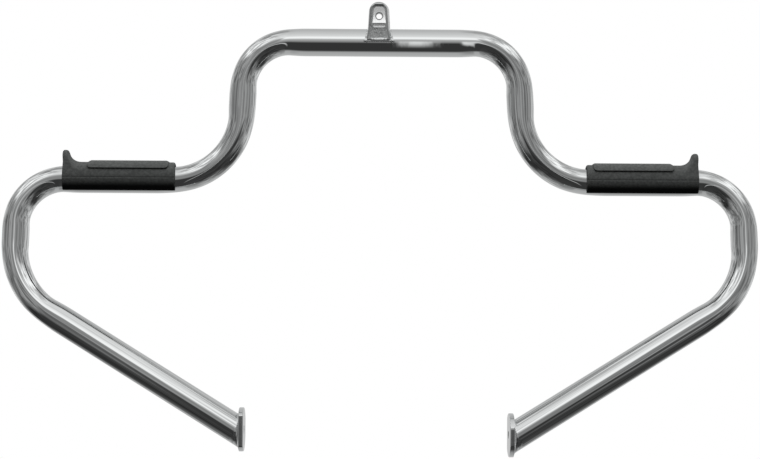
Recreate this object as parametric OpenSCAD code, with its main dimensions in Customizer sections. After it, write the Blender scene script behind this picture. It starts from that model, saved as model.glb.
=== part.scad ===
// Motorcycle crash bars: one bent steel tube with a mounting tab welded to the
// middle of its top run, a bolt plate welded to each end, and a moulded rubber
// foot rest gripping the level run on each side.
// The origin is the middle of the tab's bolt hole, on the tab's flat back.
// X runs to the viewer's right, Y away from the viewer and Z up.

/* [Tube] */
// Outside diameter of the tube
tube_d = 31.75; // [28:0.05:36]
// Wall thickness of the tube
tube_wall = 3; // [1.5:0.1:5]
// How far the tube's middle lies to the viewer's right of the bolt hole
tube_shift = 3.4; // [-6:0.2:6]

/* [Bends from the middle outward] */
// Half the length of the straight across the top
top_half_l = 105; // [70:1:140]
// Centreline radius of the shoulder bend
shoulder_r = 55; // [48:1:70]
// Angle of the shoulder bend in degrees, which the knee bend turns back
shoulder_a = 87; // [78:1:95]
// Length of the drop between the shoulder and the knee
drop_l = 31; // [15:1:60]
// Centreline radius of the knee bend
knee_r = 81; // [60:1:100]
// Length of the level straight that carries the foot rest
rest_l = 122; // [100:0.5:150]
// Angle in degrees that everything below the foot rest leans towards the viewer
sweep_a = 12; // [0:1:30]
// Centreline radius of the outer bend
outer_r = 54.5; // [45:0.5:70]
// Angle of the outer bend in degrees
outer_a = 90.5; // [85:0.5:98]
// Length of the straight down the side
side_l = 23.5; // [10:0.5:60]
// Centreline radius of the lower bend
lower_r = 92; // [80:1:120]
// Angle of the lower bend in degrees, which sets the slope of the leg
lower_a = 58; // [50:0.5:62]
// How much the tube's radius draws down in the bends
bend_draw = 0.05; // [0.05:0.05:0.4]

/* [End plates] */
// Clear distance between the inner faces of the two plates
plate_gap = 296; // [240:1:340]
// How far the middle of that gap lies to the viewer's right of the bolt hole
plate_shift = -1; // [-4:0.5:4]
// Height of a plate's middle above the point where the leg's centreline meets its outer face
plate_up = 2; // [-2:0.5:4]
// Diameter of the round blank
plate_d = 49; // [46:1:60]
// Thickness of a plate
plate_t = 5.5; // [4:0.5:10]
// Distance from the bolt hole to the nearer of the two flats
plate_near_flat = 17.2; // [16.5:0.1:20]
// Distance from the bolt hole to the farther flat
plate_far_flat = 22.3; // [20:0.1:23]
// Chamfer round the edge of a plate
plate_edge = 0.8; // [0.2:0.1:1.5]
// Diameter of the tapped hole, across the crests of the thread
thread_d = 8.5; // [6:0.1:12]
// Lead-in chamfer at the mouth of the tapped hole
thread_lead = 0.6; // [0.2:0.1:1]
// Leg of the fillet weld round the tube's end
end_weld = 2.5; // [1.5:0.1:4]

/* [Mounting tab] */
// Height of the bolt hole above the tube's centreline
tab_hole_h = 29; // [27:0.5:45]
// Diameter of the bolt hole
tab_hole_d = 6.8; // [5:0.1:9]
// Chamfer at the bolt hole's mouth in the recess
tab_hole_edge = 0.9; // [0.3:0.1:1.5]
// Radius of the tab's rounded top, at its back face
tab_top_r = 11.8; // [11:0.1:15]
// Height of the tab's top above the bolt hole
tab_top_h = 17.5; // [15:0.5:20]
// Half the tab's width where its foot starts to flare, at its back face
tab_waist_w = 12.8; // [11.8:0.1:14]
// Height above the tube's centreline where the foot starts to flare
tab_waist_h = 17; // [15:0.5:20]
// Half the width of the tab's foot, at its back face
tab_foot_w = 16; // [14:0.1:18]
// Thickness of the tab
tab_t = 10; // [8:0.5:14]
// How far the tab's front stands in front of the tube
tab_proud = 2; // [0.2:0.1:3]
// How much smaller the tab's outline is all round at its front
tab_draft = 0.8; // [0.3:0.1:2]
// Rounding of the tab's front edge
tab_edge = 0.8; // [0.3:0.1:1.5]
// Height of the tab's lower edge above the tube's centreline
tab_low_h = 0.5; // [0:0.5:6]
// Half the width of the recess at its mouth
recess_w = 8.1; // [7:0.1:8.5]
// Height of the recess above the bolt hole, at its mouth
recess_up = 13.2; // [11:0.1:13.5]
// Distance from the bolt hole down to the foot of the recess, at its mouth
recess_down = 12.8; // [10:0.1:13.5]
// How much smaller the recess is all round at its floor
recess_draft = 1; // [0.5:0.1:1.5]
// Depth of the recess at its top, from which its floor rises
recess_top_d = 4.6; // [2:0.1:5]
// Depth of the recess at its foot
recess_low_d = 1; // [0.5:0.1:1.8]
// Height of the trough across the foot of the recess
trough_h = 5; // [3:0.1:6]
// Depth of the trough
trough_d = 2; // [1.9:0.1:3]
// Radius of the weld bead round the tab's foot
tab_bead = 1.6; // [1.2:0.1:4]
// Radius of the lumps where the bead turns the tab's front corners
tab_lump = 2.4; // [1.8:0.1:5]

/* [Foot rests] */
// Length of a foot rest
pad_l = 128; // [110:0.5:140]
// How far a foot rest's middle lies inward of the level straight's middle
pad_in = 1.8; // [-2:0.2:4]
// Thickness of the rubber over the tube
pad_wall = 3.8; // [3:0.1:6]
// Clearance between the rubber and the tube
pad_fit = 0.3; // [0.2:0.05:0.5]
// Height of the rubber's lower edges below the tube's centreline
pad_skirt = 13; // [6:0.5:13]
// Chamfer round the ends of the rubber
pad_edge = 1; // [0.5:0.1:2]
// Height of the toe stop above the rubber
stop_h = 14; // [10:0.5:20]
// Distance from the rubber's outer end to the toe stop's inner face
stop_t = 4; // [3.5:0.1:8]
// How far the toe stop's outer face leans inward at its tip, outward below zero
stop_lean = -1.4; // [-2:0.1:2]
// Radius of the hollow between the toe stop and the rubber's top
stop_fillet = 10.5; // [6:0.5:14]
// Half the width of the toe stop at its tip
stop_w = 13; // [6:0.5:15]
// Length of the raised tread
tread_l = 94.5; // [70:0.5:100]
// Distance from the inner end of the rubber to the tread
tread_in = 7; // [4:0.5:12]
// Height of the tread above the rubber
tread_h = 2; // [1.5:0.1:4]
// Angle in degrees that the tread covers on each side of the top
tread_a = 58; // [35:1:70]
// Chamfer of the tread's upper end corners
tread_chamfer = 2; // [1:0.1:5]
// Rounding of the tread's lower end corners
tread_corner = 4; // [1:0.1:5]

/* [Hidden] */
$fn = 96;

CHROME = [0.80, 0.81, 0.82];
WELD = [0.68, 0.69, 0.70];
RUBBER = [0.10, 0.10, 0.10];

// Larger than any piece, for cutting with a flat side
BIG = 200;
// Thickness of the slices that a hull joins
SLICE = 0.1;
// How far a straight of the tube runs on into the bends next to it
LAP = 0.05;

tube_r = tube_d / 2;
bar_y = tube_r + tab_proud - tab_t;
bar_z = -tab_hole_h;

LEFT = -1;
RIGHT = 1;

// Each run is a straight, a turn of the bending plane about the tube, and a bend
RUNS = [
  [top_half_l, 0, shoulder_r, shoulder_a],
  [drop_l, 180, knee_r, shoulder_a],
  [rest_l, 180 - sweep_a, outer_r, outer_a],
  [side_l, 0, lower_r, lower_a]
];
REST = 2;
LEG = len(RUNS);

// A station on the centreline: its point, its heading and the side it bends to
function turned(side, heading, a) = side * cos(a) + cross(heading, side) * sin(a);
function bend_start(s, run) = [s[0] + s[1] * run[0], s[1], turned(s[2], s[1], run[1])];
function bend_end(s, run) = [
  s[0] + (s[1] * sin(run[3]) + s[2] * (1 - cos(run[3]))) * run[2],
  s[1] * cos(run[3]) + s[2] * sin(run[3]),
  s[2] * cos(run[3]) - s[1] * sin(run[3])
];
MIDDLE = [[0, bar_y, bar_z], [1, 0, 0], [0, 0, -1]];
function station(i) = i == 0 ? MIDDLE : bend_end(bend_start(station(i - 1), RUNS[i - 1]), RUNS[i - 1]);

// The leg runs straight from the last bend to the outer face of its end plate.
// Both halves are drawn as the right one, and reaches run from the tube's middle.
leg = station(LEG);
function plate_reach(side) = plate_gap / 2 + side * (plate_shift - tube_shift);
function face_reach(side) = plate_reach(side) + plate_t;
function leg_l(side) = (face_reach(side) - leg[0].x) / leg[1].x;
function leg_end(side) = leg[0] + leg[1] * leg_l(side);

pad_bore_r = tube_r + pad_fit;
pad_r = pad_bore_r + pad_wall;
pad_start = (rest_l - pad_l) / 2 - pad_in;

// Where the recess's floor turns into its trough, how steep the floor is above it,
// and how deep it is at the bolt hole
ledge_z = trough_h - recess_down;
floor_slope = (recess_top_d - recess_low_d) / (recess_up - recess_draft - ledge_z);
floor_d = recess_low_d - floor_slope * ledge_z;

// Points along an arc, for outlines with round stretches
function arc(centre, r, from, to, steps = 12) = [
  for (i = [0 : steps]) centre + r * [cos(from + (to - from) * i / steps), sin(from + (to - from) * i / steps)]
];

// Puts children at a station, with their Z along the heading and X to the side
module at_station(s) {
  across = cross(s[1], s[2]);
  multmatrix([
    [s[2].x, across.x, s[1].x, s[0].x],
    [s[2].y, across.y, s[1].y, s[0].y],
    [s[2].z, across.z, s[1].z, s[0].z],
    [0, 0, 0, 1]
  ]) children();
}

// One bend of the children's section, starting at a station
module bent(r, a) {
  translate([r, 0, 0])
    rotate([90, 0, 180])
      rotate_extrude(angle = a)
        translate([r, 0])
          children();
}

// Moves what is drawn for the right half from the tube's middle to its own side
module on_side(side) {
  translate([tube_shift, 0, 0])
    if (side == RIGHT) {
      children();
    } else {
      mirror([1, 0, 0])
        children();
    }
}

// Everything on the outer side of an end plate's outer face
module beyond_plate(side) {
  translate([face_reach(side), -BIG, -3 * BIG])
    cube([2 * BIG, 2 * BIG, 4 * BIG]);
}

// Carries children from the start of a run to its end
module past(run) {
  translate([0, 0, run[0]])
    rotate([0, 0, run[1]])
      translate([run[2], 0, 0])
        rotate([0, run[3], 0])
          translate([-run[2], 0, 0])
            children();
}

// A rod along the centreline from run i onward, heading up Z
module bent_rod(r, i, side) {
  lap = i == 0 ? 0 : LAP;
  if (i == LEG) {
    translate([0, 0, -lap])
      cylinder(r = r, h = leg_l(side) + 2 * tube_d);
  } else {
    run = RUNS[i];
    translate([0, 0, -lap])
      cylinder(r = r, h = run[0] + lap + LAP);
    translate([0, 0, run[0]])
      rotate([0, 0, run[1]])
        bent(run[2], run[3])
          circle(r = r - bend_draw);
    past(run)
      bent_rod(r, i + 1, side);
  }
}

// Half of the bar as a rod, from the middle to its end plate
module rod_half(r, side) {
  intersection() {
    translate([0, bar_y, bar_z])
      rotate([0, 90, 0])
        bent_rod(r, 0, side);
    union() {
      beyond_plate(side);
      translate([-1, -BIG, leg[0].z])
        cube([3 * BIG, 2 * BIG, 2 * BIG]);
    }
  }
}

module rod_whole(r) {
  for (side = [LEFT, RIGHT])
    on_side(side)
      rod_half(r, side);
}

module bar_tube() {
  color(CHROME)
    difference() {
      rod_whole(tube_r);
      rod_whole(tube_r - tube_wall);
    }
}

// The leg's outside, made larger all round and run on past its end
module leg_rod(side, grow = 0) {
  at_station(leg)
    cylinder(r = tube_r + grow, h = leg_l(side) + 2 * tube_d);
}

// Puts children at the middle of an end plate's inner face, turned about its bolt hole
module at_plate(side, flip) {
  translate([plate_reach(side), leg_end(side).y, leg_end(side).z + plate_up])
    rotate([flip, 0, 0])
      children();
}

// A round blank with two flats, standing on the plane of its inner face
module plate_blank(t, edge, shrink = 0) {
  r = plate_d / 2 - shrink;
  difference() {
    rotate([0, 90, 0])
      rotate_extrude()
        polygon([[0, 0], [r - edge, 0], [r, edge], [r, t - edge], [r - edge, t], [0, t]]);
    translate([-BIG / 2, -plate_near_flat + shrink - BIG, -BIG / 2])
      cube(BIG);
    translate([-BIG / 2, plate_far_flat - shrink, -BIG / 2])
      cube(BIG);
  }
}

module end_plate(side, flip) {
  on_side(side)
    at_plate(side, flip)
      difference() {
        plate_blank(plate_t, plate_edge);
        rotate([0, 90, 0])
          translate([0, 0, -1])
            cylinder(d = thread_d, h = plate_t + 2);
        rotate([0, 90, 0])
          translate([0, 0, -SLICE])
            cylinder(r1 = thread_d / 2 + thread_lead + SLICE, r2 = thread_d / 2, h = thread_lead + SLICE);
      }
}

module end_plate_left() {
  color(CHROME) end_plate(LEFT, 0);
}

module end_plate_right() {
  color(CHROME) end_plate(RIGHT, 180);
}

// A thin slice of the enlarged leg, at a distance out from the plate
module leg_slice(side, grow, out) {
  intersection() {
    leg_rod(side, grow);
    translate([face_reach(side) + out, -BIG, -3 * BIG])
      cube([SLICE, 2 * BIG, 4 * BIG]);
  }
}

// A hollow fillet weld in the corner between the tube's end and the plate
module end_weld(side, flip) {
  waist = end_weld * 0.38;
  on_side(side)
    difference() {
      intersection() {
        union() {
          hull() {
            leg_slice(side, end_weld, 0);
            leg_slice(side, waist, waist);
          }
          hull() {
            leg_slice(side, waist, waist);
            leg_slice(side, SLICE, end_weld);
          }
        }
        at_plate(side, flip)
          plate_blank(plate_t + 2 * end_weld, 0, plate_edge);
      }
      leg_rod(side);
    }
}

module end_weld_left() {
  color(WELD) end_weld(LEFT, 0);
}

module end_weld_right() {
  color(WELD) end_weld(RIGHT, 180);
}

// A level bar across the tab at one height, its half width less what it shrinks
module tab_bar(y, z, half_w, t) {
  translate([-half_w, y - t, z])
    cube([2 * half_w, t, SLICE]);
}

// The tab's upper outline on one plane: a round top above the waist
module tab_upper(y, shrink) {
  translate([0, y, tab_top_h - tab_top_r])
    rotate([90, 0, 0])
      cylinder(r = tab_top_r - shrink, h = SLICE);
  tab_bar(y, bar_z + tab_waist_h, tab_waist_w - shrink, SLICE);
}

// The tab's lower outline on one plane: the waist above a wider foot
module tab_lower(y, shrink) {
  tab_bar(y, bar_z + tab_waist_h, tab_waist_w - shrink, SLICE);
  tab_bar(y, bar_z + tab_low_h, tab_foot_w - shrink, SLICE);
}

// The tab before it is coped to the tube, recessed and drilled
module tab_blank() {
  edge_y = tab_edge - tab_t + SLICE;
  front_y = SLICE - tab_t;
  hull() {
    tab_upper(0, 0);
    tab_upper(edge_y, tab_draft);
    tab_upper(front_y, tab_draft + tab_edge);
  }
  hull() {
    tab_lower(0, 0);
    tab_lower(edge_y, tab_draft);
    tab_lower(front_y, tab_draft + tab_edge);
  }
}

// One level of the recess, mirrored about the bolt hole
module recess_slice(half, y) {
  translate([0, y + SLICE, 0])
    rotate([90, 0, 0])
      linear_extrude(SLICE)
        polygon(concat(half, [for (i = [len(half) - 1 : -1 : 0]) [-half[i].x, half[i].y]]));
}

// The recess: cut corners, sloping sides, a rising floor and a trough across its foot
module tab_recess() {
  top_cut = 0.4 * recess_w;
  foot_cut = 0.2 * recess_w;
  bed_w = recess_w - recess_draft;
  bed_up = recess_up - recess_draft;
  foot_w = bed_w - recess_draft;
  foot_z = -recess_down;
  front_y = -tab_t - SLICE;
  hull() {
    recess_slice([
      [recess_w - top_cut, recess_up], [recess_w, recess_up - 1.4 * top_cut], [recess_w, ledge_z]
    ], front_y);
    recess_slice([[bed_w - top_cut, bed_up], [bed_w, bed_up - 1.4 * top_cut]], front_y + recess_top_d);
    recess_slice([[bed_w, ledge_z + SLICE], [bed_w, ledge_z]], front_y + recess_low_d);
  }
  hull() {
    recess_slice([[bed_w, ledge_z + SLICE], [bed_w, foot_z + foot_cut], [bed_w - foot_cut, foot_z]], front_y);
    recess_slice([
      [foot_w, ledge_z + SLICE],
      [foot_w, foot_z + recess_draft + foot_cut],
      [foot_w - foot_cut, foot_z + recess_draft]
    ], front_y + trough_d);
  }
}

module top_rod() {
  translate([tube_shift - top_half_l, bar_y, bar_z])
    rotate([0, 90, 0])
      cylinder(r = tube_r, h = 2 * top_half_l);
}

// The bolt hole, with a chamfer square to the recess's floor at its mouth
module tab_hole() {
  hole_r = tab_hole_d / 2;
  rotate([90, 0, 0])
    translate([0, 0, -1])
      cylinder(r = hole_r, h = tab_t + 2);
  translate([0, floor_d - tab_t, 0])
    rotate([90 - atan(floor_slope), 0, 0])
      translate([0, 0, -2 * tab_hole_edge])
        cylinder(r1 = hole_r - tab_hole_edge, r2 = hole_r + 2 * tab_hole_edge, h = 3 * tab_hole_edge);
}

module mounting_tab() {
  color(CHROME)
    difference() {
      tab_blank();
      top_rod();
      tab_recess();
      tab_hole();
    }
}

// Weld beads along the tab's sides, back and front, with a lump at each front corner
module tab_weld() {
  side_x = tab_foot_w - tab_draft / 2;
  lean = atan((tab_foot_w - tab_waist_w) / (tab_waist_h - tab_low_h));
  back_a = atan2(-bar_y, sqrt(tube_r * tube_r - bar_y * bar_y));
  front_a = 90 - asin(tab_low_h / tube_r);
  back_z = bar_z + tube_r * cos(back_a);
  front_y = bar_y - tube_r * sin(front_a);
  front_z = bar_z + tab_low_h;
  back_x = side_x - tube_r * cos(back_a) * sin(lean);
  color(WELD)
    difference() {
      union() {
        for (side = [-1, 1]) {
          translate([side * side_x, bar_y, bar_z])
            rotate([0, 90 - side * lean, 0])
              rotate([0, 0, 180 - back_a])
                rotate_extrude(angle = front_a + back_a)
                  translate([tube_r, 0])
                    circle(r = tab_bead);
          translate([side * side_x, front_y, front_z])
            sphere(r = tab_lump);
          translate([side * back_x, 0, back_z])
            sphere(r = tab_lump);
        }
        translate([-back_x, 0, back_z])
          rotate([0, 90, 0])
            cylinder(r = tab_bead, h = 2 * back_x);
        translate([-side_x, front_y, front_z])
          rotate([0, 90, 0])
            cylinder(r = tab_bead, h = 2 * side_x);
      }
      top_rod();
      tab_blank();
    }
}

// Side view of the toe stop, from its outer face inward and from the tube upward
module stop_side() {
  tip_r = (stop_t - stop_lean) / 2;
  top = pad_r + stop_h;
  polygon(concat(
    [[0, 0], [0, pad_r]],
    arc([stop_lean + tip_r, top - tip_r], tip_r, 180, 0),
    arc([stop_t + stop_fillet, pad_r + stop_fillet], stop_fillet, 180, 270),
    [[stop_t + stop_fillet, 0]]
  ));
}

// End view of the toe stop: the rubber's round with a tongue rising from it
module stop_end() {
  top = pad_r + stop_h;
  circle(r = pad_r);
  translate([top - stop_w, 0])
    circle(r = stop_w);
  polygon([[0, -pad_r], [top - stop_w, -stop_w], [top - stop_w, stop_w], [0, pad_r]]);
}

// Front view of the tread's ends: cut above and rounded below
module tread_side() {
  low = (pad_r + tread_h) * cos(tread_a);
  top = pad_r + tread_h + 1;
  cut = tread_chamfer + 1;
  polygon(concat(
    arc([low + tread_corner, tread_corner], tread_corner, 270, 180),
    arc([low + tread_corner, tread_l - tread_corner], tread_corner, 180, 90),
    [[top - cut, tread_l], [top, tread_l - cut], [top, cut], [top - cut, 0]]
  ));
}

module tread() {
  intersection() {
    difference() {
      cylinder(r = pad_r + tread_h, h = tread_l);
      translate([0, 0, -1])
        cylinder(r = pad_bore_r + pad_wall / 2, h = tread_l + 2);
    }
    rotate([90, 0, 0])
      translate([0, 0, -BIG / 2])
        linear_extrude(BIG)
          tread_side();
  }
}

// The rubber along the tube's axis Z, with X up and its toe stop at the far end
module pad_body() {
  difference() {
    union() {
      rotate_extrude()
        polygon([
          [0, 0], [pad_r - pad_edge, 0], [pad_r, pad_edge],
          [pad_r, pad_l - pad_edge], [pad_r - pad_edge, pad_l], [0, pad_l]
        ]);
      translate([0, 0, tread_in])
        tread();
      intersection() {
        translate([0, BIG / 2, pad_l])
          rotate([90, 0, 0])
            linear_extrude(BIG)
              rotate(-90)
                stop_side();
        translate([0, 0, pad_l / 2])
          linear_extrude(pad_l)
            stop_end();
      }
    }
    translate([0, 0, -1])
      cylinder(r = pad_bore_r, h = pad_l + 2);
    translate([-BIG - pad_skirt, -BIG / 2, -BIG / 2])
      cube([BIG, BIG, 2 * BIG]);
  }
}

module foot_pad(side) {
  color(RUBBER)
    on_side(side)
      at_station(station(REST))
        translate([0, 0, pad_start])
          pad_body();
}

module foot_pad_left() {
  foot_pad(LEFT);
}

module foot_pad_right() {
  foot_pad(RIGHT);
}

bar_tube();
mounting_tab();
tab_weld();
end_plate_left();
end_plate_right();
end_weld_left();
end_weld_right();
foot_pad_left();
foot_pad_right();
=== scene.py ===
"""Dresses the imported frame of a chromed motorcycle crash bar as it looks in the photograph.

The bent tube is swept along its path. The tab, the end plates, the welds and the foot rests are each carved
from a distance function, so that their edges, hollows and beads are as round as the real ones. Sizes are in
millimetres and angles in degrees until a mesh or a lamp is made.
"""

from __future__ import annotations

import logging
import math
from abc import ABC, abstractmethod
from dataclasses import dataclass
from enum import Enum
from functools import cached_property

import bpy
import numpy as np
from mathutils import Matrix, Vector


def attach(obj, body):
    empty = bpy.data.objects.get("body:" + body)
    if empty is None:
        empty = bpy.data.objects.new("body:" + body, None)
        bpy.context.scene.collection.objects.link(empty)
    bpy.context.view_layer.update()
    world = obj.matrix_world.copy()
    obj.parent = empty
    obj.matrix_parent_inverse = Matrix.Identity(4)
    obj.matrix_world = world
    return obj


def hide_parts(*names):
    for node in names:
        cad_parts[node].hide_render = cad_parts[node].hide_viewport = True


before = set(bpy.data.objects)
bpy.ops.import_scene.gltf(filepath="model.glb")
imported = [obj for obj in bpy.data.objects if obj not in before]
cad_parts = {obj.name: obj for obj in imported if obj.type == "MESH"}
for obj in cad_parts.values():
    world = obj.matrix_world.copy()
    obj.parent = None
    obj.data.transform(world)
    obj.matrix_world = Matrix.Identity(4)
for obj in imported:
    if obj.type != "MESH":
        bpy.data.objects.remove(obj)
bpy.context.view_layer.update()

LOG = logging.getLogger("crash_bar")
MM = 0.001
ROOT = "root"

Array = np.ndarray


def linear(hex_colour: str) -> tuple[float, float, float, float]:
    """Turns an sRGB hex colour into the linear colour that a shader takes.

    Args:
        hex_colour: The colour as six hex digits, with or without a leading #.

    Returns:
        Red, green, blue and an alpha of 1.
    """
    digits = hex_colour.lstrip("#")
    parts = [int(digits[i : i + 2], 16) / 255 for i in (0, 2, 4)]
    toe = 0.04045
    made = [c / 12.92 if c <= toe else ((c + 0.055) / 1.055) ** 2.4 for c in parts]
    return (made[0], made[1], made[2], 1.0)


def add_node(
    tree: bpy.types.NodeTree, kind: str, settings: dict | None = None, links: dict | None = None
) -> bpy.types.Node:
    """Adds one node, sets its values and links its inputs.

    Args:
        tree: The tree that takes the node.
        kind: Blender's name for the node's type.
        settings: Attributes of the node, or names or numbers of its inputs, with their values.
        links: Names or numbers of its inputs, each with the socket that feeds it.

    Returns:
        The new node.
    """
    node = tree.nodes.new(kind)
    for name, value in (settings or {}).items():
        if isinstance(name, int) or name in node.inputs:
            node.inputs[name].default_value = value
        else:
            setattr(node, name, value)
    for name, socket in (links or {}).items():
        tree.links.new(socket, node.inputs[name])
    return node


def fill_ramp(ramp: bpy.types.ColorRamp, stops: list[tuple[float, float]]) -> None:
    """Sets a colour ramp to greys.

    Args:
        ramp: The ramp to fill.
        stops: Pairs of a place from 0 to 1 and a linear grey.
    """
    while len(ramp.elements) > 1:
        ramp.elements.remove(ramp.elements[-1])
    ramp.elements[0].position = stops[0][0]
    ramp.elements[0].color = (stops[0][1],) * 3 + (1,)
    for place, grey in stops[1:]:
        ramp.elements.new(place).color = (grey,) * 3 + (1,)


class Side(Enum):
    """The two sides of the bar, as the viewer sees them."""

    LEFT = -1
    RIGHT = 1

    @property
    def word(self) -> str:
        """The side's name as the nodes spell it."""
        return self.name.lower()


@dataclass(frozen=True)
class ChromePlate:
    """Bright decorative chromium over nickel, on steel that was linished and polished first.

    The eye gets a near mirror, a little cool, whose reflections waver where the steel under it isn't true.
    """

    name: str = "chromium_plated_polished"
    colour: str = "#e4e6e6"
    roughness: float = 0.006
    haze: float = 0.012
    ripple_mm: float = 16.0
    ripple_strength: float = 0.025
    pit_mm: float = 1.4
    pit_strength: float = 0.0
    pit_depth_mm: float = 0.1
    # The noise's values between which the haze comes
    haze_edge: tuple[float, float] = (0.3, 0.7)

    def material(self) -> bpy.types.Material:
        """Makes the chrome's material.

        Returns:
            The material.
        """
        mat = bpy.data.materials.new(self.name)
        mat.use_nodes = True
        tree = mat.node_tree
        shader = tree.nodes["Principled BSDF"]
        shader.inputs["Base Color"].default_value = linear(self.colour)
        shader.inputs["Metallic"].default_value = 1.0
        place = add_node(tree, "ShaderNodeTexCoord").outputs["Object"]
        cloud = add_node(
            tree, "ShaderNodeTexNoise", {"Scale": 1 / (self.ripple_mm * MM), "Detail": 2.0}, {"Vector": place}
        ).outputs["Fac"]
        rough = add_node(
            tree,
            "ShaderNodeMapRange",
            {
                "From Min": self.haze_edge[0],
                "From Max": self.haze_edge[1],
                "To Min": self.roughness,
                "To Max": self.roughness + self.haze,
            },
            {"Value": cloud},
        )
        tree.links.new(rough.outputs["Result"], shader.inputs["Roughness"])
        pits = add_node(
            tree, "ShaderNodeTexNoise", {"Scale": 1 / (self.pit_mm * MM), "Detail": 1.0}, {"Vector": place}
        ).outputs["Fac"]
        waver = add_node(
            tree, "ShaderNodeBump", {"Strength": self.ripple_strength, "Distance": MM}, {"Height": cloud}
        )
        pitted = add_node(
            tree,
            "ShaderNodeBump",
            {"Strength": self.pit_strength, "Distance": self.pit_depth_mm * MM},
            {"Height": pits, "Normal": waver.outputs["Normal"]},
        )
        tree.links.new(pitted.outputs["Normal"], shader.inputs["Normal"])
        return mat


@dataclass(frozen=True)
class MouldedRubber:
    """Black synthetic rubber, compression moulded in a blasted tool.

    The eye gets a near black, with a soft grey on what faces up that is painted light from above, laid in uneven
    patches and broken by a fine uneven grain.
    """

    name: str = "rubber_moulded_black"
    colour: str = "#161717"
    # The lighter grey painted where the rubber faces up, standing in for light from above
    painted_light_colour: str = "#5d5f5e"
    roughness: float = 0.6
    specular: float = 0.08
    # The painted light from above starts and is full where the surface's normal points down by these parts of its
    # length
    top_light_start: float = -0.44
    top_light_full: float = -0.08
    # A blasted tool's grain is about half a millimetre: this is drawn coarser, so that it shows in the render
    grain_mm: float = 2.0
    grain_strength: float = 1.0
    grain_depth_mm: float = 0.25
    # The painted light's uneven patches: their size, how much of it lies between them, and the noise's values at their
    # edges
    cloud_mm: float = 3.0
    least_top_light: float = 0.65
    cloud_edge: tuple[float, float] = (0.35, 0.65)

    def material(self) -> bpy.types.Material:
        """Makes the rubber's material.

        Returns:
            The material.
        """
        mat = bpy.data.materials.new(self.name)
        mat.use_nodes = True
        tree = mat.node_tree
        shader = tree.nodes["Principled BSDF"]
        shader.inputs["Specular IOR Level"].default_value = self.specular
        shader.inputs["Roughness"].default_value = self.roughness
        at = add_node(tree, "ShaderNodeTexCoord").outputs
        place = at["Object"]
        cloud = add_node(
            tree, "ShaderNodeTexNoise", {"Scale": 1 / (self.cloud_mm * MM), "Detail": 4.0}, {"Vector": place}
        )
        patches = add_node(
            tree,
            "ShaderNodeMapRange",
            {"From Min": self.cloud_edge[0], "From Max": self.cloud_edge[1], "To Min": self.least_top_light},
            {"Value": cloud.outputs["Fac"]},
        ).outputs["Result"]
        # Painted light: the colour turns lighter grey where the normal points up, in uneven patches, to stand in for
        # the light falling from above
        upward = add_node(tree, "ShaderNodeSeparateXYZ", links={0: at["Normal"]}).outputs["Z"]
        facing_up = add_node(
            tree,
            "ShaderNodeMapRange",
            {"interpolation_type": "SMOOTHSTEP", "From Min": self.top_light_start, "From Max": self.top_light_full},
            {"Value": upward},
        ).outputs["Result"]
        patchy_top_light = add_node(tree, "ShaderNodeMath", {"operation": "MULTIPLY"}, {0: patches, 1: facing_up})
        tint = add_node(
            tree,
            "ShaderNodeMix",
            {"data_type": "RGBA", 6: linear(self.colour), 7: linear(self.painted_light_colour)},
            {0: patchy_top_light.outputs[0]},
        )
        tree.links.new(tint.outputs[2], shader.inputs["Base Color"])
        grain = add_node(
            tree, "ShaderNodeTexNoise", {"Scale": 1 / (self.grain_mm * MM), "Detail": 3.0}, {"Vector": place}
        )
        bump = add_node(
            tree,
            "ShaderNodeBump",
            {"Strength": self.grain_strength, "Distance": self.grain_depth_mm * MM},
            {"Height": grain.outputs["Fac"]},
        )
        tree.links.new(bump.outputs["Normal"], shader.inputs["Normal"])
        return mat


def make_mesh(
    name: str, points: Array, quads: Array, materials: list[bpy.types.Material], normals: Array | None = None
) -> bpy.types.Object:
    """Makes a smooth mesh object and links it to the scene.

    Args:
        name: The piece's name.
        points: One row of x, y and z in millimetres for each corner.
        quads: One row of four corners for each face.
        materials: What the piece is made of, the main one first.
        normals: The surface's own direction at each corner, where it is known.

    Returns:
        The new object.
    """
    mesh = bpy.data.meshes.new(name)
    mesh.from_pydata((points * MM).tolist(), [], quads.tolist())
    mesh.shade_smooth()
    if normals is not None:
        mesh.normals_split_custom_set_from_vertices(normals.tolist())
    for material in materials:
        mesh.materials.append(material)
    piece = bpy.data.objects.new(name, mesh)
    bpy.context.collection.objects.link(piece)
    return piece


def dress(piece: bpy.types.Object, node: str) -> None:
    """Puts a piece in a solid's place on the part's one body.

    Args:
        piece: The new piece.
        node: The solid that it stands for.
    """
    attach(piece, ROOT)
    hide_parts(node)
    LOG.info("%s: %d faces", piece.name, len(piece.data.polygons))


@dataclass(frozen=True)
class Placing:
    """Where a piece that is drawn in its own axes stands in the part's frame."""

    origin: Array
    axes: Array

    def points(self, local: Array) -> Array:
        """Moves points from the piece's axes to the part's frame."""
        return self.origin + self.ways(local)

    def ways(self, local: Array) -> Array:
        """Turns directions from the piece's axes to the part's frame."""
        return local @ self.axes.T

    @property
    def mirrored(self) -> bool:
        """Whether the piece comes out as its mirror image."""
        return bool(np.linalg.det(self.axes) < 0)


@dataclass(frozen=True)
class Station:
    """A place on the centreline: its point, its heading, the side it bends to, and how far it is in a bend."""

    point: Array
    heading: Array
    side: Array
    bend: float = 0.0


@dataclass(frozen=True)
class Run:
    """A straight, then a turn of the bending plane about the tube, then a bend."""

    straight: float
    turn: float
    radius: float
    angle: float


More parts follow.
